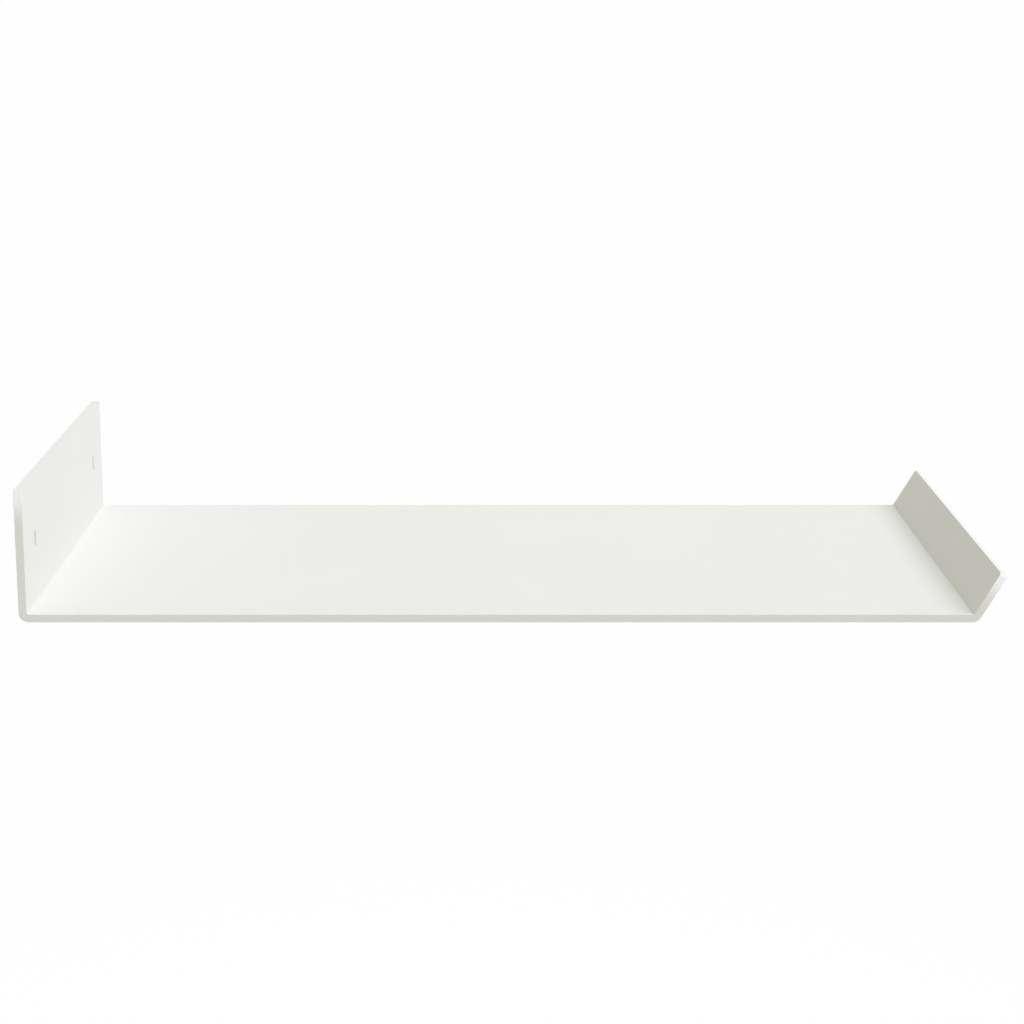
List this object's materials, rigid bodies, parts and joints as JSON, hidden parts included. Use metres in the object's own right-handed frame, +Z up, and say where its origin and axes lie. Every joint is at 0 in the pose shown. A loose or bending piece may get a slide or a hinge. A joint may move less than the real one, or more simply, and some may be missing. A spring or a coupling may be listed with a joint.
{
  "type": "floating wall shelf",
  "caption": "White floating wall shelf folded from thick plate, with a tall upright end, a short end that leans outward, and a rail hidden under its rear edge that screws to the wall.",
  "frame": {"origin": "on the wall plane at the back of the rail, at the middle of the rail's length, level with the axes of the wall screws", "axes": "+X along the shelf from the tall end to the leaning end, +Y into the wall, +Z up; the front of the shelf faces -Y"},
  "size_m": [0.7623, 0.2888, 0.1463],
  "materials": {
    "plate_coat": "matte",
    "rail_coat": "matte",
    "zinc": "satin"
  },
  "bodies": {
    "root": {"shelf_plate": "plate_coat", "wall_rail": "rail_coat", "plate_screw_1": "zinc", "plate_screw_2": "zinc", "plate_screw_3": "zinc", "plate_screw_4": "zinc", "plate_screw_5": "zinc", "wall_washer_1": "zinc", "wall_washer_2": "zinc", "wall_washer_3": "zinc", "wall_washer_4": "zinc", "wall_screw_1": "zinc", "wall_screw_2": "zinc", "wall_screw_3": "zinc", "wall_screw_4": "zinc"}
  },
  "joints": []
}
